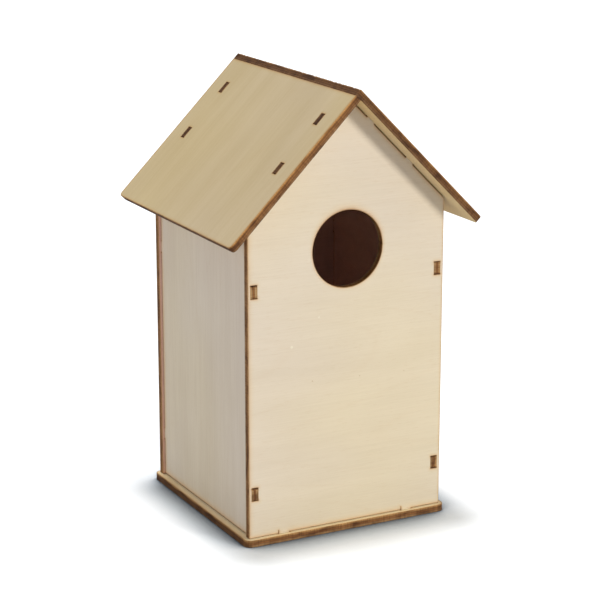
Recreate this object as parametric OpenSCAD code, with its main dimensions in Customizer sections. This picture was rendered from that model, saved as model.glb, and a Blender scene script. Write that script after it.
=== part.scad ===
// Birdhouse of seven laser-cut plywood panels, held together by tabs pushed through slots.
// Millimetres. The origin is the centre of the floor panel's underside, with the front towards -Y.

/* [House] */
// Width across the front wall
house_w = 90; // [70:1:140]
// Depth from the front wall's outer face to the rear wall's outer face
house_d = 90; // [60:1:140]
// Height of the walls' corners, where the roof slopes start, above the floor panel
wall_h = 133; // [100:1:200]

/* [Plywood] */
// Thickness of the plywood sheet
ply = 3; // [2:0.25:5]

/* [Entrance] */
// Diameter of the entrance hole
hole_d = 32; // [20:1:45]
// Drop from the walls' corners down to the middle of the entrance hole
hole_drop = 16; // [0:1:50]

/* [Floor panel] */
// How far the floor panel stands out past the walls
floor_overhang = 2; // [1:0.5:10]
// Corner radius of the floor panel
floor_corner_r = 3; // [1:0.5:10]

/* [Roof] */
// How far the roof stands out past the front wall, and past the rear wall
gable_overhang = 10; // [2:1:30]
// How far the roof runs on past the walls' corners, along its slope
eave_overhang = 14; // [5:1:40]
// Corner radius of the roof panels at the eaves
eave_corner_r = 2; // [0.5:0.5:8]

/* [Tabs] */
// Length of every tab along its panel's edge
tab_len = 5; // [3:0.5:10]
// Distance from the ridge, along the slope, to the middle of the upper roof tabs
upper_roof_tab = 14; // [8:0.5:18]
// Distance from the ridge, along the slope, to the middle of the lower roof tabs
lower_roof_tab = 39.5; // [30:0.5:42]
// Distance from a wall's side edge to the middle of its tab in the floor panel
floor_tab_inset = 16; // [12:0.5:24]
// Height of the middle of the side panels' lower tabs above the floor panel
low_side_tab = 19; // [8:0.5:30]
// Drop from the walls' corners to the middle of the side panels' upper tabs
high_side_tab_drop = 29; // [18:0.5:40]
// How far the side panels are set in from the walls' side edges
side_inset = 1.25; // [0.5:0.25:6]

/* [Fits] */
// How much longer a slot is than its tab
tab_play = 0.5; // [0.1:0.1:1]
// How much wider a slot is than the sheet is thick: 0 is the tight fit that holds the panels
slot_play = 0; // [0:0.05:0.3]
// Gap between the gables' cut edges and the underside of the roof
roof_gap = 0.6; // [0.1:0.1:1.5]
// Gap between the walls' lower edges and the floor panel
floor_gap = 0.25; // [0.05:0.05:1]

/* [Hidden] */
$fn = 96;

// The roof panels lap squarely over each other at the ridge, so each one slopes at 45 degrees.
roof_pitch = 45;
// The gables' corner and ridge, and the length of the slope between them
corner_z = ply + wall_h;
ridge_z = corner_z + house_w / 2;
slope_len = house_w / 2 / cos(roof_pitch);
// The middle of the front wall's thickness is this far from the middle of the house
wall_mid_y = house_d / 2 - ply / 2;
// The side panels' outer faces, and the lines that their tabs lie on
side_outer_x = house_w / 2 - side_inset;
side_mid_x = side_outer_x - ply / 2;
side_tab_zs = [ply + low_side_tab, corner_z - high_side_tab_drop];
side_top_z = corner_z + side_inset;
side_len = house_d - 2 * ply;
floor_tab_x = house_w / 2 - floor_tab_inset;
roof_tabs = [upper_roof_tab, lower_roof_tab];
roof_len = house_d + 2 * gable_overhang;
// A slot is this long and this wide.
slot_len = tab_len + tab_play;
slot_w = ply + slot_play;
// Cutters pass the faces that they cut by this much.
past = 1;

birch = "burlywood";
birch_shade = "tan";

// A rectangle from the corner low to the corner high
module area(low, high) {
    translate(low) square(high - low);
}

// A rectangle of the given size, centred on the point at
module patch(at, size) {
    translate(at) square(size, center = true);
}

// A rectangle of w by l, centred across and starting at y = 0, with the two corners at its far end rounded
module end_rounded(w, l, r) {
    translate([-w / 2, 0]) square([w, l - r]);
    translate([r - w / 2, 0]) square([w - 2 * r, l]);
    for (side = [-1, 1])
        translate([side * (w / 2 - r), l - r]) circle(r);
}

// Turns a drawing of x and z into a wall whose outer face is at -Y and whose thickness is centred on y
module stand_across(y) {
    translate([0, y + ply / 2, 0]) rotate([90, 0, 0]) linear_extrude(ply) children();
}

// Turns a drawing of y and z into a panel whose thickness is centred on x
module stand_along(x) {
    translate([x - ply / 2, 0, 0]) rotate([90, 0, 90]) linear_extrude(ply) children();
}

// The gabled outline that the front and rear walls share, with its tabs into the floor and through the roof
module wall_outline() {
    half = house_w / 2;
    polygon([[-half, ply + floor_gap], [half, ply + floor_gap], [half, corner_z], [0, ridge_z], [-half, corner_z]]);
    for (side = [-1, 1])
        area([side * floor_tab_x - tab_len / 2, 0], [side * floor_tab_x + tab_len / 2, ply + 2 * floor_gap]);
    for (side = [-1, 1], along = roof_tabs)
        translate([0, ridge_z]) rotate(-side * roof_pitch)
            area([side * along - tab_len / 2, -ply], [side * along + tab_len / 2, roof_gap + ply]);
}

// The slots that hold the side panels' tabs
module wall_slots() {
    for (side = [-1, 1], z = side_tab_zs)
        patch([side * side_mid_x, z], [slot_w, slot_len]);
}

module front_wall() {
    color(birch)
        stand_across(-wall_mid_y)
            difference() {
                wall_outline();
                wall_slots();
                translate([0, corner_z - hole_drop]) circle(d = hole_d);
            }
}

module rear_wall() {
    color(birch)
        stand_across(wall_mid_y)
            difference() {
                wall_outline();
                wall_slots();
            }
}

// A side panel fits between the two walls, and its tabs reach flush through them.
module side_panel(side) {
    stand_along(side * side_mid_x) {
        area([-side_len / 2, ply + floor_gap], [side_len / 2, side_top_z]);
        for (z = side_tab_zs)
            patch([0, z], [house_d, tab_len]);
    }
}

module left_side() {
    color(birch_shade) side_panel(-1);
}

module right_side() {
    color(birch_shade) side_panel(1);
}

// The floor panel, with a slot under each wall tab
module floor_panel() {
    plate_w = house_w + 2 * floor_overhang;
    plate_d = house_d + 2 * floor_overhang;
    color(birch)
        linear_extrude(ply)
            difference() {
                for (turn = [0, 180])
                    rotate(turn) end_rounded(plate_w, plate_d / 2, floor_corner_r);
                for (side = [-1, 1], end = [-1, 1])
                    patch([side * floor_tab_x, end * wall_mid_y], [slot_len, slot_w]);
            }
}

// A roof panel lies on the slope that falls towards +X. It starts lap past the ridge line, and it has a
// slot over each roof tab of both walls.
module roof_panel(lap) {
    translate([0, 0, ridge_z]) rotate([0, roof_pitch, 0]) translate([0, 0, roof_gap])
        difference() {
            translate([-lap, 0, 0]) rotate(-90) linear_extrude(ply)
                end_rounded(roof_len, lap + slope_len + eave_overhang, eave_corner_r);
            translate([0, 0, -past]) linear_extrude(ply + 2 * past)
                for (end = [-1, 1], along = roof_tabs)
                    patch([along, end * wall_mid_y], [slot_len, slot_w]);
        }
}

// The right panel laps over the left panel's upper end.
module right_roof() {
    color(birch) roof_panel(roof_gap + ply);
}

// The left panel's upper end butts against the right panel's underside.
module left_roof() {
    color(birch_shade) mirror([1, 0, 0]) roof_panel(roof_gap);
}

floor_panel();
front_wall();
rear_wall();
left_side();
right_side();
left_roof();
right_roof();
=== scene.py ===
# Looks of the birdhouse: seven sheets of birch plywood cut with a laser, put together in the order of
# assembly. Drawings are in millimetres and the meshes are in metres.
import math

import bpy
import numpy as np
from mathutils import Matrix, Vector
from mathutils.geometry import delaunay_2d_cdt


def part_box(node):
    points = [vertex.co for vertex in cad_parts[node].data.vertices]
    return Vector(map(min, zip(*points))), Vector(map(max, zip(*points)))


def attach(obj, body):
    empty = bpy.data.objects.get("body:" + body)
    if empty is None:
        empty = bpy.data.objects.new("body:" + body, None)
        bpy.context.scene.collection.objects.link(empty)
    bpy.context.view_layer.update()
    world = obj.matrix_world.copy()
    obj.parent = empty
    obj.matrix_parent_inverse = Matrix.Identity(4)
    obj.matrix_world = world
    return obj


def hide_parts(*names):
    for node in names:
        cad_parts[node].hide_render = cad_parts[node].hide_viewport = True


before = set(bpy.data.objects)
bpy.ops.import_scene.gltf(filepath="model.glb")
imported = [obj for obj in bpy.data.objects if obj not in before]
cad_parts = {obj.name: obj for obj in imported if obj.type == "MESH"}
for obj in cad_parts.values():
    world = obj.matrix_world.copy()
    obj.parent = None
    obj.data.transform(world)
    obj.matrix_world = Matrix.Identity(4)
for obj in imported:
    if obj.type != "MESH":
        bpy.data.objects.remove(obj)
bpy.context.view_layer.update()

ROOT = "root"

# ---------------------------------------------------------------------------------------------------------
# Floor panel. A flat plate of 3 mm birch plywood, three veneers thick, with rounded corners and a slot for
# each wall tab. Like every panel it is one sheet cut right through by a laser, which leaves square brown
# edges and a warm scorched margin on the face beside them. The walls stand on it.

MM = 0.001
VENEERS = 3
TAB_LENGTH = 5.0
SLOT_LENGTH = 5.5
# The beam takes this much off every edge.
BEAM_LOSS = 0.02
# It burns each arris back by this much, slightly round.
ARRIS = 0.07
# Each glue line burns back a little further than the veneers beside it.
GLUE_LINE = 0.05


def box_mm(node):
    """Lowest and highest corners of a CAD node, in millimetres."""
    return [np.array(corner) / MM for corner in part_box(node)]


def cut_line(corners):
    """Points along a closed run of cuts, with the sheet on their left.

    A row of corners is (x, y, radius, reach, bare, chips). Each corner is an arc that touches the cut that
    comes in and the cut that goes out, and the cuts are straight between the arcs. reach is how far scorch
    spreads from the cut that leaves the corner. bare is how lightly its edge is burnt: 0 is char, 0.5 is
    toasted, and 1 leaves the outer veneers pale. chips is how much its arrises are broken out. The result
    has the columns x, y, reach, bare, chips.
    """
    rows = np.array(corners, float)
    at = rows[:, :2]
    out = np.roll(at, -1, axis=0) - at
    length = np.hypot(out[:, 0], out[:, 1])
    out = out / length[:, None]
    come = np.roll(out, 1, axis=0)
    turn = np.arctan2(come[:, 0] * out[:, 1] - come[:, 1] * out[:, 0], (come * out).sum(axis=1))
    trim = rows[:, 2] * np.abs(np.tan(turn / 2))
    parts = []
    for k in range(len(rows)):
        start = at[k] - come[k] * trim[k]
        side = math.copysign(rows[k, 2], turn[k])
        centre = start + side * np.array([-come[k, 1], come[k, 0]])
        bends = max(1, math.ceil(trim[k] / 0.25))
        swing = np.linspace(0, turn[k], bends + 1)[:, None]
        spoke = start - centre
        arc = centre + spoke * np.cos(swing) + np.array([-spoke[1], spoke[0]]) * np.sin(swing)
        arc = arc if trim[k] > 0 else arc[:1]
        follow = (k + 1) % len(rows)
        first = at[k] + out[k] * trim[k]
        run = length[k] - trim[k] - trim[follow]
        pieces = max(1, math.ceil(run / 0.8))
        straight = first + out[k] * (run * np.arange(1, pieces) / pieces)[:, None]
        points = np.vstack([arc, straight])
        parts.append(np.hstack([points, np.tile(rows[k, 3:], (len(points), 1))]))
    return np.vstack(parts)


def slot_cut(x, y, wide, high, reach=0.8, bare=0):
    """A slot wide by high round (x, y), with the tiny corner radius of the beam, cut clockwise.

    Scorch spreads by reach from its two ends. Its long sides were cut fast and scorch little, and bare is
    how lightly they are burnt: 0 is char, and 1 leaves the outer veneers pale.
    """
    w = wide / 2
    h = high / 2
    ends = (reach, 0)
    upright, level = ((0.15, bare), ends) if high > wide else (ends, (0.15, bare))
    beam_radius = 0.12
    corners = [
        (x - w, y - h, upright),
        (x - w, y + h, level),
        (x + w, y + h, upright),
        (x + w, y - h, level),
    ]
    return cut_line([(px, py, beam_radius, *burn, 0) for px, py, burn in corners])


def cut_edge(line, ply, seed):
    """A cut edge: the profile of the three veneers carried along the line of the cut.

    A point is the line's point, moved into the sheet along the mitre of the two cuts beside it by the
    profile's inset, and down into the sheet by the profile's depth. The inset is the beam's loss, plus a
    rounded arris at each face, plus a groove at each glue line, plus the chips broken out of the arrises.
    All of it is less where the burn is light.
    Returns the points as an array of (along the cut, down the edge, xyz), and the running length.
    """
    at = line[:, :2]
    ahead = np.roll(at, -1, axis=0) - at
    step = np.hypot(ahead[:, 0], ahead[:, 1])
    left = np.stack([-ahead[:, 1], ahead[:, 0]], axis=1) / step[:, None]
    before = np.roll(left, 1, axis=0)
    mitre = (left + before) / np.maximum(1 + (left * before).sum(axis=1), 0.45)[:, None]
    length = np.concatenate([[0], np.cumsum(step)])
    through = np.array([0, 0.012, 0.03, 0.07, 0.16, 0.27, 0.315, 0.333, 0.351, 0.41, 0.5])
    through = np.concatenate([through, 1 - through[-2::-1]])
    shallow = np.minimum(through, 1 - through)
    inset = BEAM_LOSS + ARRIS * np.clip(1 - shallow / 0.03, 0, 1) ** 2
    inset = inset + GLUE_LINE * np.exp(-((shallow - 1 / VENEERS) / 0.015) ** 2)
    rng = np.random.default_rng(seed)
    knots = np.arange(0, length[-1] + 0.7, 0.7)
    upper, lower = rng.random((2, len(knots)))
    bite = np.stack([np.interp(length[:-1], knots, upper), np.interp(length[:-1], knots, lower)], axis=1)
    bite = (0.06 + line[:, 4:5]) * np.clip(bite - 0.5, 0, 1)
    fade = np.stack([np.exp(-through / 0.07), np.exp(-(1 - through) / 0.07)])
    moved = (inset[None, :] + bite @ fade) * (1 - 0.7 * line[:, 3:4])
    places = at[:, None, :] + mitre[:, None, :] * moved[:, :, None]
    depth = np.broadcast_to(through * ply, moved.shape)
    return np.dstack([places, depth]), length


def fill_face(rings, reaches):
    """A face between cuts, as points and triangles.

    The points are the rings themselves, then copies of each ring moved into the sheet by growing steps,
    then a square grid, all without those nearer to a cut than their own step. The triangles are the Delaunay
    ones whose middle is inside the sheet: where a line to the right crosses the rings an odd number of times.
    The last result is each point's distance to the nearest cut over that cut's reach.
    """
    start = np.vstack(rings)
    end = np.vstack([np.roll(ring, -1, axis=0) for ring in rings])
    reach = np.concatenate(reaches)
    along = end - start
    size = np.maximum((along**2).sum(axis=1), 1e-9)
    left = np.stack([-along[:, 1], along[:, 0]], axis=1) / np.sqrt(size)[:, None]

    def inside(points):
        x = points[:, 0:1]
        y = points[:, 1:2]
        spans = (start[:, 1] > y) != (end[:, 1] > y)
        rise = np.where(along[:, 1] == 0, 1, along[:, 1])
        crossing = start[:, 0] + (y - start[:, 1]) / rise * along[:, 0]
        return (spans & (x < crossing)).sum(axis=1) % 2 == 1

    def gaps(points):
        share = ((points[:, None, :] - start) * along).sum(axis=2) / size
        foot = start + np.clip(share, 0, 1)[:, :, None] * along
        return np.linalg.norm(points[:, None, :] - foot, axis=2)

    extra = []
    for step, skip in ((0.25, 1), (0.55, 1), (0.95, 1), (1.5, 2), (2.3, 2), (3.5, 3), (5.2, 5)):
        moved = (start + left * step)[::skip]
        moved = moved[inside(moved)]
        extra.append(moved[gaps(moved).min(axis=1) > step * 0.93])
    low = start.min(axis=0)
    high = start.max(axis=0)
    grid = np.stack(np.meshgrid(np.arange(low[0], high[0], 4.0), np.arange(low[1], high[1], 4.0)), axis=2)
    grid = grid.reshape(-1, 2)
    grid = grid[inside(grid)]
    extra.append(grid[gaps(grid).min(axis=1) > 6.5])
    points = np.vstack([start, *extra])
    counts = [len(ring) for ring in rings]
    first = np.repeat(np.cumsum([0, *counts[:-1]]), counts)
    index = np.arange(len(start))
    follow = first + (index - first + 1) % np.repeat(counts, counts)
    fences = np.stack([index, follow], axis=1)
    made = delaunay_2d_cdt(points.tolist(), fences.tolist(), [], 0, 1e-6)
    came_from = np.array([min(ids) if ids else 0 for ids in made[3]])
    triangles = came_from[np.array(made[2])]
    triangles = triangles[inside(points[triangles].mean(axis=1))]
    near = (gaps(points) / reach).min(axis=1)
    near[: len(start)] = 0
    return points, triangles, near


def cut_sheet(name, lines, ply, corner, across, up, seed, back=0, beam_from_back=False):
    """A panel cut from sheet: its cut edges joined to its two faces, as one closed mesh.

    A point (x, y, depth) of the drawing goes to corner + x times across + y times up - depth times their
    cross product, so the face that is drawn looks along that product. The map "cut" holds the running
    length of the cut and the depth through the sheet, in units of 100 mm and of the sheet's thickness.
    The back face takes the material numbered back, and scorch spreads half as far on it. Depth in the map
    is counted from the face that the beam went in at.
    """
    across = np.array(across, float)
    up = np.array(up, float)
    places = []
    quads = []
    quad_maps = []
    bare = []
    tops = []
    bottoms = []
    top_rows = []
    bottom_rows = []
    total = 0
    for k, line in enumerate(lines):
        edge, length = cut_edge(line, ply, seed + 7 * k)
        n, m = edge.shape[:2]
        i, j = np.meshgrid(np.arange(n), np.arange(m - 1), indexing="ij")
        right = (i + 1) % n
        block = np.stack([i * m + j, i * m + j + 1, right * m + j + 1, right * m + j], axis=2)
        quads.append(block.reshape(-1, 4) + total)
        v = edge[0, :, 2] / ply
        v = 1 - v if beam_from_back else v
        u = length / 100
        corners = [(u[i], v[j]), (u[i], v[j + 1]), (u[i + 1], v[j + 1]), (u[i + 1], v[j])]
        quad_maps.append(np.stack([np.stack(pair, axis=2) for pair in corners], axis=2).reshape(-1, 2))
        places.append(edge.reshape(-1, 3))
        bare.append(np.repeat(line[:, 3], m))
        tops.append(edge[:, 0, :2])
        bottoms.append(edge[:, -1, :2])
        top_rows.append(total + np.arange(n) * m)
        bottom_rows.append(total + np.arange(n) * m + m - 1)
        total += n * m
    reaches = [line[:, 2] for line in lines]
    near = [np.zeros(total)]
    faces = []
    for rings, rows, depth, turned in ((tops, top_rows, 0, False), (bottoms, bottom_rows, ply, True)):
        points, triangles, close = fill_face(rings, reaches)
        known = np.concatenate(rows)
        fresh = points[len(known):]
        index = np.concatenate([known, total + np.arange(len(fresh))])
        triangles = index[triangles]
        faces.append(triangles[:, ::-1] if turned else triangles)
        places.append(np.column_stack([fresh, np.full(len(fresh), depth)]))
        near.append(close[len(known):] * (2 if turned else 1))
        total += len(fresh)
    places = np.vstack(places)
    quads = np.vstack(quads)
    fronts = len(faces[0])
    faces = np.vstack(faces)
    flat_maps = places[faces.ravel(), :2] / 100
    turn = np.stack([across, up, -np.cross(across, up)])
    world = (np.array(corner) + places @ turn) * MM
    mesh = bpy.data.meshes.new(name)
    mesh.from_pydata(world.tolist(), [], quads.tolist() + faces.tolist())
    cut_map = mesh.uv_layers.new(name="cut")
    cut_map.data.foreach_set("uv", np.vstack([*quad_maps, flat_maps]).astype(np.float32).ravel())
    kinds = np.repeat([1, 0, back], [len(quads), fronts, len(faces) - fronts]).astype(np.int32)
    mesh.polygons.foreach_set("material_index", kinds)
    near_cut = mesh.attributes.new("near_cut", "FLOAT", "POINT")
    near_cut.data.foreach_set("value", np.concatenate(near).astype(np.float32))
    bare_ply = mesh.attributes.new("bare_ply", "FLOAT", "POINT")
    bare = np.concatenate([*bare, np.zeros(len(places) - sum(map(len, bare)))])
    bare_ply.data.foreach_set("value", bare.astype(np.float32))
    mesh.shade_smooth()
    mesh.set_sharp_from_angle(angle=math.radians(35))
    mesh.update()
    piece = bpy.data.objects.new(name, mesh)
    bpy.context.scene.collection.objects.link(piece)
    return piece


def colour(code):
    """An sRGB hex value as linear red, green, blue and alpha."""
    parts = np.array([int(code[k : k + 2], 16) / 255 for k in (1, 3, 5)])
    linear = np.where(parts <= 0.04045, parts / 12.92, ((parts + 0.055) / 1.055) ** 2.4)
    return (*linear.tolist(), 1.0)


def add_node(material, kind, inputs=None, stops=None, **settings):
    """Adds a node.

    settings are its properties, inputs are values or sockets to link, and stops fill its ramp.
    """
    node = material.node_tree.nodes.new(kind)
    for key, value in settings.items():
        setattr(node, key, value)
    for key, value in (inputs or {}).items():
        if isinstance(value, bpy.types.NodeSocket):
            material.node_tree.links.new(value, node.inputs[key])
        else:
            node.inputs[key].default_value = value
    if stops:
        ramp = node.color_ramp.elements
        while len(ramp) < len(stops):
            ramp.new(1.0)
        for stop, (place, code) in zip(ramp, stops):
            stop.position = place
            stop.color = colour(code)
    return node


def sanded_birch(name, light, dark, grain_turn, shift, marks=()):
    """Birch veneer, peeled and sanded: pale, matt, with a fine straight grain.

    Fibres are 0.6 mm wide and 25 mm long, which is coarser than real ones so that they show. Broader figure
    is 11 mm by 160 mm, clouds are about 40 mm, and growth lines are the contours of a slow noise. Beside
    each cut the face is toasted: brown in the first tenths of a millimetre, then peach, out to 3 mm. marks
    are small natural flecks, as (place in mm, radius in mm, colour).
    """
    veneer = bpy.data.materials.new(name)
    veneer.use_nodes = True
    shader = veneer.node_tree.nodes["Principled BSDF"]
    place = add_node(veneer, "ShaderNodeTexCoord").outputs["Object"]
    turned = add_node(
        veneer, "ShaderNodeMapping", {"Vector": place, "Rotation": grain_turn, "Location": shift}
    ).outputs["Vector"]

    def grain(long_mm, wide_mm, detail, distortion=0.0):
        scale = (1 / (long_mm * MM), 1 / (wide_mm * MM), 1 / (wide_mm * MM))
        stretched = add_node(veneer, "ShaderNodeMapping", {"Vector": turned, "Scale": scale})
        settings = {"Vector": stretched.outputs["Vector"], "Scale": 1.0, "Detail": detail}
        settings["Distortion"] = distortion
        return add_node(veneer, "ShaderNodeTexNoise", settings).outputs["Fac"]

    fibres = grain(25, 0.6, 2.0)
    figure = grain(160, 11, 2.0, 0.4)
    clouds = grain(46, 38, 2.0)
    slow = grain(330, 55, 0.0, 0.25)
    both = add_node(veneer, "ShaderNodeMath", {0: fibres, 1: figure}, operation="ADD").outputs[0]
    three = add_node(veneer, "ShaderNodeMath", {0: both, 1: clouds}, operation="ADD").outputs[0]
    mean = add_node(veneer, "ShaderNodeMath", {0: three, 1: 1 / 3}, operation="MULTIPLY").outputs[0]
    wood = add_node(
        veneer, "ShaderNodeValToRGB", {"Fac": mean}, stops=[(0.36, dark), (0.64, light)]
    ).outputs["Color"]
    # The veneer drifts between cool and yellowish over the width of a hand.
    drift = grain(90, 60, 1.0)
    warmth = add_node(
        veneer, "ShaderNodeValToRGB", {"Fac": drift}, stops=[(0.35, "#FCFCFF"), (0.65, "#FFFEF5")]
    ).outputs["Color"]
    wood = add_node(
        veneer, "ShaderNodeMix", {0: 1.0, 6: wood, 7: warmth}, data_type="RGBA", blend_type="MULTIPLY"
    ).outputs[2]
    # Growth lines: 13 contours over the range of the slow noise, each a thin line of late wood. They are so
    # little darker that they hardly show.
    rings = add_node(veneer, "ShaderNodeMath", {0: slow, 1: 26.0}, operation="MULTIPLY").outputs[0]
    rings = add_node(veneer, "ShaderNodeMath", {0: rings, 1: 1.0}, operation="PINGPONG").outputs[0]
    lines = add_node(
        veneer, "ShaderNodeValToRGB", {"Fac": rings}, stops=[(0.0, "#FEFDFC"), (0.2, "#FFFFFF")]
    ).outputs["Color"]
    wood = add_node(
        veneer, "ShaderNodeMix", {0: 1.0, 6: wood, 7: lines}, data_type="RGBA", blend_type="MULTIPLY"
    ).outputs[2]
    # Vessels: dashes 0.35 mm wide and 3 mm long, a shade darker than the fibres.
    vessels = add_node(
        veneer,
        "ShaderNodeValToRGB",
        {"Fac": grain(3, 0.35, 0.0)},
        stops=[(0.22, "#FCFAF7"), (0.34, "#FFFFFF")],
    ).outputs["Color"]
    wood = add_node(
        veneer, "ShaderNodeMix", {0: 1.0, 6: wood, 7: vessels}, data_type="RGBA", blend_type="MULTIPLY"
    ).outputs[2]
    for spot, radius, code in marks:
        away = add_node(
            veneer, "ShaderNodeVectorMath", {0: place, 1: [s * MM for s in spot]}, operation="DISTANCE"
        ).outputs["Value"]
        inside = add_node(
            veneer,
            "ShaderNodeMapRange",
            {
                "Value": away,
                "From Min": radius * MM * 0.5,
                "From Max": radius * MM,
                "To Min": 1.0,
                "To Max": 0.0,
            },
        ).outputs["Result"]
        wood = add_node(
            veneer, "ShaderNodeMix", {0: inside, 6: wood, 7: colour(code)}, data_type="RGBA"
        ).outputs[2]
    # Scorch: near_cut is in millimetres where a cut's reach is 1, and the ramp covers 5 mm of it. Patches
    # where smoke was drawn off make it fade and come back.
    near = add_node(veneer, "ShaderNodeAttribute", attribute_name="near_cut").outputs["Fac"]
    smoke = add_node(
        veneer, "ShaderNodeMapRange", {"Value": grain(7, 5, 1.0), "To Min": 0.75, "To Max": 1.35}
    ).outputs["Result"]
    near = add_node(veneer, "ShaderNodeMath", {0: near, 1: smoke}, operation="MULTIPLY").outputs[0]
    near = add_node(veneer, "ShaderNodeMath", {0: near, 1: 0.2}, operation="MULTIPLY").outputs[0]
    toast = add_node(
        veneer,
        "ShaderNodeValToRGB",
        {"Fac": near},
        stops=[
            (0.0, "#9C7A58"),
            (0.045, "#DCC2A6"),
            (0.1, "#F5E5D3"),
            (0.2, "#FCF4E9"),
            (0.34, "#FEFBF6"),
            (0.6, "#FFFFFF"),
        ],
    ).outputs["Color"]
    wood = add_node(
        veneer, "ShaderNodeMix", {0: 1.0, 6: wood, 7: toast}, data_type="RGBA", blend_type="MULTIPLY"
    ).outputs[2]
    veneer.node_tree.links.new(wood, shader.inputs["Base Color"])
    rough = add_node(
        veneer, "ShaderNodeMapRange", {"Value": fibres, "To Min": 0.56, "To Max": 0.7}
    ).outputs["Result"]
    veneer.node_tree.links.new(rough, shader.inputs["Roughness"])
    shader.inputs["IOR"].default_value = 1.45
    shader.inputs["Specular IOR Level"].default_value = 0.3
    bump = add_node(veneer, "ShaderNodeBump", {"Height": both, "Strength": 0.12, "Distance": 0.04 * MM})
    veneer.node_tree.links.new(bump.outputs["Normal"], shader.inputs["Normal"])
    return veneer


def laser_cut_edge(name, charred, toasted, clean):
    """The cut edge of plywood, burnt by a laser: three brown bands, streaked across by the beam's pulses.

    charred and toasted are the colours down a dark and a light edge, and bare_ply says which it is. The
    streaks are 0.6 mm apart, wider than the beam's own 0.1 mm so that they show, and patches about 9 mm
    long go from tan to nearly black. clean is the colour of outer veneers that the beam left pale because
    it ran along their grain.
    """
    char = bpy.data.materials.new(name)
    char.use_nodes = True
    shader = char.node_tree.nodes["Principled BSDF"]
    cut = add_node(char, "ShaderNodeUVMap", uv_map="cut").outputs["UV"]
    through = add_node(char, "ShaderNodeSeparateXYZ", {"Vector": cut}).outputs["Y"]

    def streaks(along_mm, through_share, detail):
        scale = (100 / along_mm, 1 / through_share, 1)
        stretched = add_node(char, "ShaderNodeMapping", {"Vector": cut, "Scale": scale})
        settings = {"Vector": stretched.outputs["Vector"], "Scale": 1.0, "Detail": detail}
        return add_node(char, "ShaderNodeTexNoise", settings, noise_dimensions="2D").outputs["Fac"]

    pulses = streaks(0.6, 1.6, 2.0)
    patches = streaks(9, 0.9, 2.0)
    waver = add_node(
        char, "ShaderNodeMapRange", {"Value": streaks(4, 1.2, 1.0), "To Min": -0.07, "To Max": 0.07}
    ).outputs["Result"]
    depth = add_node(char, "ShaderNodeMath", {0: through, 1: waver}, operation="ADD").outputs[0]
    bare = add_node(char, "ShaderNodeAttribute", attribute_name="bare_ply").outputs["Fac"]
    light = add_node(char, "ShaderNodeMapRange", {"Value": bare, "From Max": 0.5}).outputs["Result"]
    spare = add_node(char, "ShaderNodeMapRange", {"Value": bare, "From Min": 0.5}).outputs["Result"]
    tones = []
    for bands in (charred, toasted):
        spread = np.linspace(0.0, 1.0, len(bands)).tolist()
        ramp = add_node(char, "ShaderNodeValToRGB", {"Fac": depth}, stops=list(zip(spread, bands)))
        tones.append(ramp.outputs["Color"])
    wood = add_node(
        char, "ShaderNodeMix", {0: light, 6: tones[0], 7: tones[1]}, data_type="RGBA"
    ).outputs[2]
    outer = add_node(char, "ShaderNodeMath", {0: depth, 1: 0.5}, operation="SUBTRACT").outputs[0]
    outer = add_node(char, "ShaderNodeMath", {0: outer}, operation="ABSOLUTE").outputs[0]
    outer = add_node(
        char, "ShaderNodeMapRange", {"Value": outer, "From Min": 0.13, "From Max": 0.22}
    ).outputs["Result"]
    pale = add_node(char, "ShaderNodeMath", {0: outer, 1: spare}, operation="MULTIPLY").outputs[0]
    wood = add_node(
        char, "ShaderNodeMix", {0: pale, 6: wood, 7: colour(clean)}, data_type="RGBA"
    ).outputs[2]
    for fac, stops in (
        (patches, [(0.32, "#B5AAA2"), (0.5, "#EFEBE8"), (0.68, "#FFFFFF")]),
        (pulses, [(0.3, "#D8D0CA"), (0.7, "#FFFFFF")]),
    ):
        shade = add_node(char, "ShaderNodeValToRGB", {"Fac": fac}, stops=stops).outputs["Color"]
        wood = add_node(
            char, "ShaderNodeMix", {0: 1.0, 6: wood, 7: shade}, data_type="RGBA", blend_type="MULTIPLY"
        ).outputs[2]
    char.node_tree.links.new(wood, shader.inputs["Base Color"])
    shader.inputs["Roughness"].default_value = 0.72
    shader.inputs["IOR"].default_value = 1.45
    shader.inputs["Specular IOR Level"].default_value = 0.25
    bump = add_node(char, "ShaderNodeBump", {"Height": pulses, "Strength": 0.5, "Distance": 0.05 * MM})
    char.node_tree.links.new(bump.outputs["Normal"], shader.inputs["Normal"])
    return char


def fit_panel(piece, node, slot, *materials):
    """Gives a panel its materials, face, edges and back in turn, and lets it stand for its CAD node."""
    for material in materials:
        piece.data.materials.append(material)
    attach(piece, ROOT)
    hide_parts(node)


floor_low, floor_high = box_mm("floor_panel")
wall_low, wall_high = box_mm("front_wall")
floor_corner_radius = 3.0
FLOOR_TAB_INSET = 16.0
floor_top = floor_high[2]
ply = floor_high[2] - floor_low[2]
half_wide, half_deep = floor_high[:2]
wall_half = wall_high[0]
wall_middle_y = (wall_low[1] + wall_high[1]) / 2
floor_tab_x = wall_half - FLOOR_TAB_INSET

floor_cuts = [
    cut_line(
        [
            (-half_wide, -half_deep, floor_corner_radius, 0.35, 0.64, 0),
            (half_wide, -half_deep, floor_corner_radius, 1.1, 0.1, 0),
            (half_wide, half_deep, floor_corner_radius, 0.9, 0.4, 0),
            (-half_wide, half_deep, floor_corner_radius, 1.1, 0.15, 0),
        ]
    )
]
for tab_x in (-floor_tab_x, floor_tab_x):
    for tab_y in (wall_middle_y, -wall_middle_y):
        floor_cuts.append(slot_cut(tab_x, tab_y, SLOT_LENGTH, ply))

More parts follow.
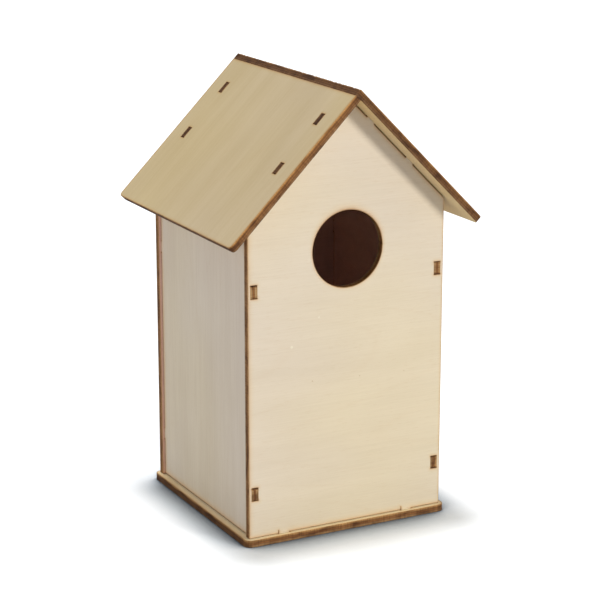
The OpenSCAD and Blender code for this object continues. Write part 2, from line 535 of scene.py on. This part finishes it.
charred_edge = laser_cut_edge(
    "laser_charred_birch_plywood_edge",
    # The first charred colour is pale: a painted highlight along the arris at the face the beam went in at.
    ["#B0875A", "#6E4B28", "#523520", "#6C4926", "#563A24", "#765334", "#5A3E28"],
    ["#D8A568", "#AA7A44", "#764C28", "#97683A", "#7A5230", "#96714A", "#765436"],
    "#B59468",
)
# The floor's face colour is paler than the walls': painted light that makes up for the shade on its margin.
floor_face = sanded_birch("sanded_birch_veneer_floor", "#FFEFCB", "#FBE7BE", (0, 0, 0), (0.3, 0.1, 0))
floor_piece = cut_sheet(
    "floor_panel_plywood", floor_cuts, ply, (0, 0, floor_top), (1, 0, 0), (0, 1, 0), seed=11
)
fit_panel(floor_piece, "floor_panel", "floor_plywood", floor_face, charred_edge)

# ---------------------------------------------------------------------------------------------------------
# Front and rear walls. Gabled panels of the same birch plywood with their face grain lying across. Each
# stands on the floor panel with two tabs through its slots and has four tabs that reach through the roof.
# The front wall has the round entrance, and both have slots for the side panels' tabs.

side_low, side_high = box_mm("left_side")
right_roof_high = box_mm("right_roof")[1]
# Across or down for each millimetre along a roof slope, which is at 45 degrees
SQUARE_LAP = math.sqrt(0.5)
# The walls' feet clear the floor panel by this much.
FLOOR_GAP = 0.08
HOLE_DIAMETER = 32.0
HOLE_DROP = 16.0
UPPER_ROOF_TAB = 14.0
LOWER_ROOF_TAB = 39.5
LOW_SIDE_TAB = 19.0
HIGH_SIDE_TAB_DROP = 29.0

ridge_z = wall_high[2]
corner_z = ridge_z - wall_half
wall_foot = floor_top + FLOOR_GAP
side_middle_x = abs(side_low[0] + side_high[0]) / 2
side_tab_zs = (floor_top + LOW_SIDE_TAB, corner_z - HIGH_SIDE_TAB_DROP)
# How far the roof's outer face lies above the gable's slope
roof_rise = (right_roof_high[2] - ridge_z) * SQUARE_LAP

# The gables' cut edges stand this far above the slope from corner to ridge, just short of the roof panels.
GABLE_RISE = 0.3


def wall_outline():
    """Corners of a gabled wall, from its foot round by the right: floor tabs, corner, roof tabs, ridge."""
    gable_corner = corner_z + GABLE_RISE / SQUARE_LAP
    t = TAB_LENGTH / 2
    foot = 0.9
    burn = 0.76
    tick_wide = 0.12
    tick_high = 1.6
    corners = [(-wall_half, wall_foot, 0, foot, burn, 0)]
    for tab_x in (-floor_tab_x, floor_tab_x):
        # The beam starts on the tab's left corner and leaves a short tick above it.
        corners += [
            (tab_x - t - tick_wide, wall_foot, 0, 0.5, 0, 0),
            (tab_x - t, wall_foot + tick_high, 0, 0.5, 0, 0),
            (tab_x - t, 0, 0, 1, 0, 0),
            (tab_x + t, 0, 0, 1, 0, 0),
            (tab_x + t, wall_foot, 0, foot, 0, 0),
        ]
    corners += [(wall_half, wall_foot, 0, 0.5, burn, 0), (wall_half, gable_corner, 0, 0.7, 0, 0)]
    for side in (1, -1):
        down = np.array([side, -1]) * SQUARE_LAP
        out = np.array([side, 1]) * SQUARE_LAP
        places = []
        for along in (LOWER_ROOF_TAB, UPPER_ROOF_TAB):
            for step, rise in ((t, GABLE_RISE), (t, roof_rise), (-t, roof_rise), (-t, GABLE_RISE)):
                places.append(np.array([0, ridge_z]) + down * (along + step) + out * rise)
        places = places if side == 1 else places[::-1]
        corners += [(x, z, 0, 0.8, 0, 0) for x, z in places]
        if side == 1:
            corners.append((0, gable_corner + wall_half, 0, 0.8, 0, 0))
    corners.append((-wall_half, gable_corner, 0, 0.95, burn, 0))
    return cut_line(corners)


def wall_slots():
    """The slots for the side panels' tabs, one above the other near each side of a wall."""
    return [
        slot_cut(x, z, ply, SLOT_LENGTH, 0.7, 1)
        for x in (-side_middle_x, side_middle_x)
        for z in side_tab_zs
    ]


def entrance_cut():
    """The entrance: a circle cut clockwise, with the most scorch along its top."""
    turn = np.linspace(0, -2 * np.pi, 168, endpoint=False)
    x = HOLE_DIAMETER / 2 * np.cos(turn)
    z = corner_z - HOLE_DROP + HOLE_DIAMETER / 2 * np.sin(turn)
    reach = 0.55 + 0.8 * np.clip(np.sin(turn), 0, 1)
    return np.stack([x, z, reach, 0 * x + 0.65, 0 * x], axis=1)


ACROSS = (math.radians(90), 0, 0)
front_marks = [
    ((-16, -45, 66.5), 0.34, "#BFA886"),
    ((6, -45, 65.6), 0.32, "#C2AC8B"),
    ((27, -45, 64.8), 0.30, "#C4AF8F"),
    ((-25.4, -45, 82.1), 0.75, "#DED4C0"),
    ((-13, -45, 93.0), 0.6, "#DDD2BE"),
]
front_face = sanded_birch(
    "sanded_birch_veneer_front_wall", "#DBCEBA", "#D3C5B0", ACROSS, (0.1, 0.2, 0), front_marks
)
front_piece = cut_sheet(
    "front_wall_plywood",
    [wall_outline(), *wall_slots(), entrance_cut()],
    ply,
    (0, wall_low[1], 0),
    (1, 0, 0),
    (0, 0, 1),
    seed=101,
    back=2,
)
inner_face = sanded_birch(
    "unsanded_birch_back_veneer", "#F0CABC", "#E4BCAE", ACROSS, (0.4, 0.9, 0.3)
)
fit_panel(front_piece, "front_wall", "wall_plywood", front_face, charred_edge, inner_face)

rear_face = sanded_birch("sanded_birch_veneer_rear_wall", "#DBCEBA", "#D3C5B0", ACROSS, (0.7, 0.4, 0.2))
rear_piece = cut_sheet(
    "rear_wall_plywood",
    [wall_outline(), *wall_slots()],
    ply,
    (0, -wall_low[1], 0),
    (-1, 0, 0),
    (0, 0, 1),
    seed=201,
    back=2,
    beam_from_back=True,
)
fit_panel(rear_piece, "rear_wall", "wall_plywood", rear_face, charred_edge, inner_face)

# ---------------------------------------------------------------------------------------------------------
# Side panels. Plain rectangles of the same plywood with their face grain upright, held between the two
# walls by tabs that end flush with the walls' outer faces. The beam ran along the grain of their outer
# veneers at those ends, so they stay pale between the dark middle veneer and the dark slot ends.

side_foot = side_low[2]
side_top = side_high[2]
side_half = -wall_low[1] - ply


def side_outline(tab_bare):
    """Corners of a side panel, from its foot round by the right, with two tabs on each upright edge.

    tab_bare is how pale the beam left the outer veneers at the tabs' ends.
    """
    t = TAB_LENGTH / 2
    reach_y = -wall_low[1]
    corners = [(-side_half, side_foot, 0, 1.2, 0, 0)]
    right = [(side_half, side_foot, 1.2, 0)]
    for z in side_tab_zs:
        right += [
            (side_half, z - t, 1, 0),
            (reach_y, z - t, 1, tab_bare),
            (reach_y, z + t, 1, 0),
            (side_half, z + t, 1, 0),
        ]
    right.append((side_half, side_top, 1, 0))
    corners += [(x, z, 0, reach, bare, 0) for x, z, reach, bare in right]
    corners.append((-side_half, side_top, 0, 1, 0, 0))
    for z in side_tab_zs[::-1]:
        corners += [
            (-side_half, z + t, 0, 1, 0, 0),
            (-reach_y, z + t, 0, 1, tab_bare, 0),
            (-reach_y, z - t, 0, 1, 0, 0),
            (-side_half, z - t, 0, 1, 0, 0),
        ]
    return cut_line(corners)


UPRIGHT = (0, math.radians(90), 0)
# The sides' face colour is paler and bluer than the walls': painted light, for the cool fill they get.
side_face = sanded_birch("sanded_birch_veneer_side_panels", "#E4D7C6", "#D9CAB7", UPRIGHT, (0.2, 0.5, 0.1))
for name, node, x, across, tab_bare, seed in (
    ("left_side_plywood", "left_side", side_low[0], (0, -1, 0), 0.95, 301),
    ("right_side_plywood", "right_side", -side_low[0], (0, 1, 0), 0.75, 401),
):
    side_piece = cut_sheet(
        name, [side_outline(tab_bare)], ply, (x, 0, 0), across, (0, 0, 1), seed=seed, back=2
    )
    fit_panel(side_piece, node, "side_plywood", side_face, charred_edge, inner_face)

# ---------------------------------------------------------------------------------------------------------
# Roof panels. Two rectangles of the same plywood with their grain running down the slope, coloured darker
# and yellower than the walls: the darker tone is painted shade. They drop over the gables' tabs, and the
# right one laps over the upper end of the left one, so its dark cut end shows along the ridge with small
# chips broken out of its lower veneer. Their eave corners are rounded.

EAVE_CORNER_RADIUS = 2.0
roof_half = right_roof_high[1]
roof_foot = right_roof_high[0] / SQUARE_LAP - roof_rise


def roof_cuts(lap, ridge_chips, burn):
    """Cuts of a roof panel drawn with x down the slope from the ridge: its outline, then its four slots."""
    outline = cut_line(
        [
            (-lap, -roof_half, 0, 0.75, burn, 0),
            (roof_foot, -roof_half, EAVE_CORNER_RADIUS, 0.5, 0.1, 0),
            (roof_foot, roof_half, EAVE_CORNER_RADIUS, 0.75, burn, 0),
            (-lap, roof_half, 0, 0.7, 0.08, ridge_chips),
        ]
    )
    slots = [
        slot_cut(along, y, SLOT_LENGTH, ply, 0.5)
        for along in (UPPER_ROOF_TAB, LOWER_ROOF_TAB)
        for y in (wall_middle_y, -wall_middle_y)
    ]
    return [outline, *slots]


# The undersides' colour is much paler than the roofs' tops: painted light for the light the table throws up.
roof_underside_painted_light = sanded_birch(
    "birch_back_veneer_under_roof", "#E4CDA0", "#D9C092", (0, math.radians(45), 0), (0.6, 0.1, 0.6)
)
for name, node, side, lap, chips, burn, shift in (
    ("left_roof_plywood", "left_roof", -1, roof_rise - ply, 0.0, 0.5, 0.35),
    ("right_roof_plywood", "right_roof", 1, roof_rise, 1.1, 0.22, 0.85),
):
    # The roofs' face colour is darker and yellower than the walls'; the darker tone is painted shade.
    roof_face = sanded_birch(
        "sanded_birch_veneer_" + node,
        "#C3B08D",
        "#B9A580",
        (0, -side * math.radians(45), 0),
        (shift, 0.3, shift),
    )
    roof_piece = cut_sheet(
        name,
        roof_cuts(lap, chips, burn),
        ply,
        (side * roof_rise * SQUARE_LAP, 0, ridge_z + roof_rise * SQUARE_LAP),
        (side * SQUARE_LAP, 0, -SQUARE_LAP),
        (0, side, 0),
        seed=501 + side * 50,
        back=2,
    )
    fit_panel(roof_piece, node, "roof_plywood", roof_face, charred_edge, roof_underside_painted_light)

# ---------------------------------------------------------------------------------------------------------
# Table top. A wide sheet of white matt laminate that the birdhouse stands on. It runs on well past the
# camera's view, so it is also the background. Its colour carries a painted contact shadow round the
# floor panel.

# The floor panel's fuzz of fibres holds it this far off the laminate.
TABLE_DROP = 0.05 * MM
TABLE_HALF = 6.0
TABLE_CELLS = 24
CONTACT_REACH = 26 * MM


def table_grid():
    """A flat grid of two parameters just below height 0: x and y each go from -6 m to 6 m."""
    across = np.linspace(-TABLE_HALF, TABLE_HALF, TABLE_CELLS + 1)
    x, y = np.meshgrid(across, across, indexing="ij")
    points = np.stack([x, y, 0 * x - TABLE_DROP], axis=2).reshape(-1, 3)
    i, j = np.meshgrid(np.arange(TABLE_CELLS), np.arange(TABLE_CELLS), indexing="ij")
    first = i * (TABLE_CELLS + 1) + j
    wide = TABLE_CELLS + 1
    quads = np.stack([first, first + wide, first + wide + 1, first + 1], axis=2).reshape(-1, 4)
    return points, quads


table_points, table_quads = table_grid()
table_mesh = bpy.data.meshes.new("table_top")
table_mesh.from_pydata(table_points.tolist(), [], table_quads.tolist())
table_top = bpy.data.objects.new("table_top", table_mesh)
bpy.context.scene.collection.objects.link(table_top)
laminate = bpy.data.materials.new("white_matt_laminate")
laminate.use_nodes = True
laminate_shader = laminate.node_tree.nodes["Principled BSDF"]
table_place = add_node(laminate, "ShaderNodeTexCoord").outputs["Object"]
# The laminate's fine orange peel is 2 mm across and hardly shows.
peel = add_node(
    laminate, "ShaderNodeTexNoise", {"Vector": table_place, "Scale": 1 / (2 * MM), "Detail": 1.0}
)
tint = add_node(
    laminate, "ShaderNodeValToRGB", {"Fac": peel.outputs["Fac"]}, stops=[(0.3, "#F4F4F4"), (0.7, "#F6F6F6")]
)
# Painted contact shadow: it darkens the laminate's colour and glow out to 26 mm from the floor panel, cool.
closed_in = add_node(laminate, "ShaderNodeAmbientOcclusion", {"Distance": CONTACT_REACH}, samples=8)
painted_contact_shadow = add_node(
    laminate,
    "ShaderNodeValToRGB",
    {"Fac": closed_in.outputs["AO"]},
    stops=[(0.48, "#3C454E"), (0.6, "#8B959E"), (0.74, "#DDE4EA"), (0.9, "#FCFEFF")],
).outputs["Color"]
seen_white = add_node(
    laminate,
    "ShaderNodeMix",
    {0: 1.0, 6: tint.outputs["Color"], 7: painted_contact_shadow},
    data_type="RGBA",
    blend_type="MULTIPLY",
).outputs[2]
# The laminate looks white and glows faintly to the eye, but it throws back onto the birdhouse only half
# of its light.
eye = add_node(laminate, "ShaderNodeLightPath").outputs["Is Camera Ray"]
thrown = add_node(
    laminate, "ShaderNodeMix", {0: eye, 6: colour("#BEBEBE"), 7: seen_white}, data_type="RGBA"
).outputs[2]
glow = add_node(laminate, "ShaderNodeMath", {0: eye, 1: 0.1}, operation="MULTIPLY").outputs[0]
laminate.node_tree.links.new(thrown, laminate_shader.inputs["Base Color"])
laminate.node_tree.links.new(painted_contact_shadow, laminate_shader.inputs["Emission Color"])
laminate.node_tree.links.new(glow, laminate_shader.inputs["Emission Strength"])
laminate_shader.inputs["Roughness"].default_value = 0.7
laminate_shader.inputs["Specular IOR Level"].default_value = 0.1
table_top.data.materials.append(laminate)

# ---------------------------------------------------------------------------------------------------------
# Studio. A large softbox to the front right, a broad one overhead and slightly behind, a weak one to the
# left, and a pale room all round. The camera stands to the left of the front, a little above the
# birdhouse, with a long lens.


def softbox(name, towards, strength, angle, code):
    """A far softbox in the direction towards, as a sun of the softbox's apparent width in degrees."""
    lamp = bpy.data.lights.new(name, "SUN")
    lamp.energy = strength
    lamp.angle = math.radians(angle)
    lamp.color = colour(code)[:3]
    holder = bpy.data.objects.new(name, lamp)
    holder.rotation_mode = "QUATERNION"
    holder.rotation_quaternion = Vector(towards).to_track_quat("Z", "Y")
    bpy.context.scene.collection.objects.link(holder)


softbox("key_softbox", (0.58, -1.0, 0.31), 2.15, 14, "#FFFCF4")
softbox("overhead_softbox", (0.0, 0.09, 1.0), 2.4, 10, "#FBFCFF")
softbox("left_fill_softbox", (-1.0, 0.05, 0.25), 0.48, 20, "#FFFFFF")

room = bpy.data.worlds.new("pale_studio")
room.use_nodes = True
bpy.context.scene.world = room
air = room.node_tree.nodes["Background"]
seen = add_node(room, "ShaderNodeLightPath").outputs["Is Camera Ray"]
fill = add_node(
    room, "ShaderNodeMix", {0: seen, 6: colour("#AAACAE"), 7: colour("#FFFFFF")}, data_type="RGBA"
).outputs[2]
room.node_tree.links.new(fill, air.inputs["Color"])
air.inputs["Strength"].default_value = 1.0
bpy.context.scene.view_settings.view_transform = "Standard"
bpy.context.scene.view_settings.look = "None"

camera_side_degrees = 27.52
camera_rise_degrees = 15.28
camera_distance_mm = 812.1
aim_mm = (-21.67, wall_low[1], 101.34)
side_turn = math.radians(camera_side_degrees)
rise = math.radians(camera_rise_degrees)
level = math.cos(rise)
back = Vector((-math.sin(side_turn) * level, -math.cos(side_turn) * level, math.sin(rise)))
lens = bpy.data.cameras.new("long_lens")
lens.lens = 121.73
lens.sensor_width = 36.0
lens.clip_start = 0.02
lens.clip_end = 60.0
camera = bpy.data.objects.new("camera", lens)
camera.location = Vector(aim_mm) * MM + back * camera_distance_mm * MM
camera.rotation_mode = "QUATERNION"
camera.rotation_quaternion = back.to_track_quat("Z", "Y")
bpy.context.scene.collection.objects.link(camera)
bpy.context.scene.camera = camera
